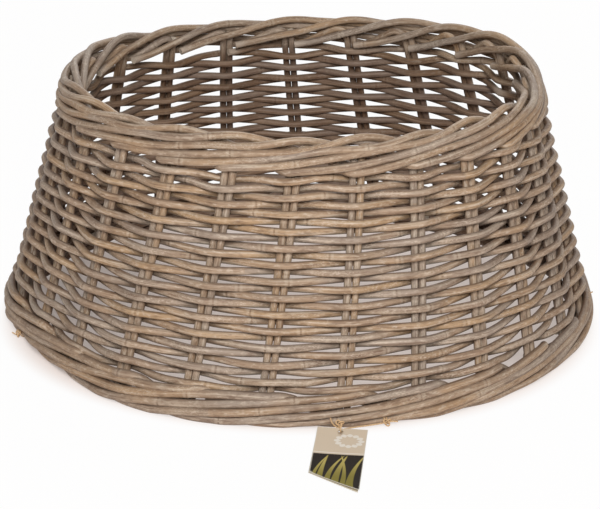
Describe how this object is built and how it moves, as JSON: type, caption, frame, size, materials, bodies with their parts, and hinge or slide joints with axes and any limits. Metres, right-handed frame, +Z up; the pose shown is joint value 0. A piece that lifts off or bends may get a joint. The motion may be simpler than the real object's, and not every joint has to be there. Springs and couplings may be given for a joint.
{
  "type": "christmas tree collar",
  "caption": "Open conical collar woven from round rattan rods with rolled borders, with a small card tag on a string, to hide the stand of a Christmas tree.",
  "frame": {"origin": "on the floor plane, in the middle of the collar's wide end", "axes": "+Z up along the collar's axis, towards its narrow end; -Y to the front, where the hang tag lies; +X to the right as seen from the front"},
  "size_m": [0.5979, 0.7207, 0.252],
  "materials": {
    "stake_rattan": "dry natural rattan, light grey-brown, matt",
    "weaver_rattan": "dry natural rattan, light tan with grey rods among it, matt",
    "twine": "twisted natural fibre, matt",
    "card": "printed card with a slight sheen"
  },
  "bodies": {
    "collar": {"stake_01": "stake_rattan", "stake_02": "stake_rattan", "stake_03": "stake_rattan", "stake_04": "stake_rattan", "stake_05": "stake_rattan", "stake_06": "stake_rattan", "stake_07": "stake_rattan", "stake_08": "stake_rattan", "stake_09": "stake_rattan", "stake_10": "stake_rattan", "stake_11": "stake_rattan", "stake_12": "stake_rattan", "stake_13": "stake_rattan", "stake_14": "stake_rattan", "stake_15": "stake_rattan", "stake_16": "stake_rattan", "stake_17": "stake_rattan", "stake_18": "stake_rattan", "stake_19": "stake_rattan", "stake_20": "stake_rattan", "stake_21": "stake_rattan", "stake_22": "stake_rattan", "stake_23": "stake_rattan", "bye_stake_01": "stake_rattan", "bye_stake_02": "stake_rattan", "bye_stake_03": "stake_rattan", "bye_stake_04": "stake_rattan", "bye_stake_05": "stake_rattan", "bye_stake_06": "stake_rattan", "bye_stake_07": "stake_rattan", "bye_stake_08": "stake_rattan", "bye_stake_09": "stake_rattan", "bye_stake_10": "stake_rattan", "bye_stake_11": "stake_rattan", "bye_stake_12": "stake_rattan", "bye_stake_13": "stake_rattan", "bye_stake_14": "stake_rattan", "bye_stake_15": "stake_rattan", "bye_stake_16": "stake_rattan", "bye_stake_17": "stake_rattan", "bye_stake_18": "stake_rattan", "bye_stake_19": "stake_rattan", "bye_stake_20": "stake_rattan", "bye_stake_21": "stake_rattan", "bye_stake_22": "stake_rattan", "bye_stake_23": "stake_rattan", "weaver_1": "weaver_rattan", "weaver_2": "weaver_rattan", "weaver_3": "weaver_rattan", "weaver_4": "weaver_rattan", "weaver_5": "weaver_rattan", "weaver_6": "weaver_rattan", "weaver_7": "weaver_rattan", "weaver_8": "weaver_rattan", "tag_string": "twine", "left_tie": "twine", "right_tie": "twine"},
    "hang_tag": {"hang_tag": "card"}
  },
  "joints": [
    {"name": "tag_swing", "type": "hinge", "parent": "collar", "child": "hang_tag", "pos_m": [0.03897, -0.3042, 0.0049], "axis": [-0.9962, 0.0872, 0], "range_deg": [0, 80]}
  ]
}
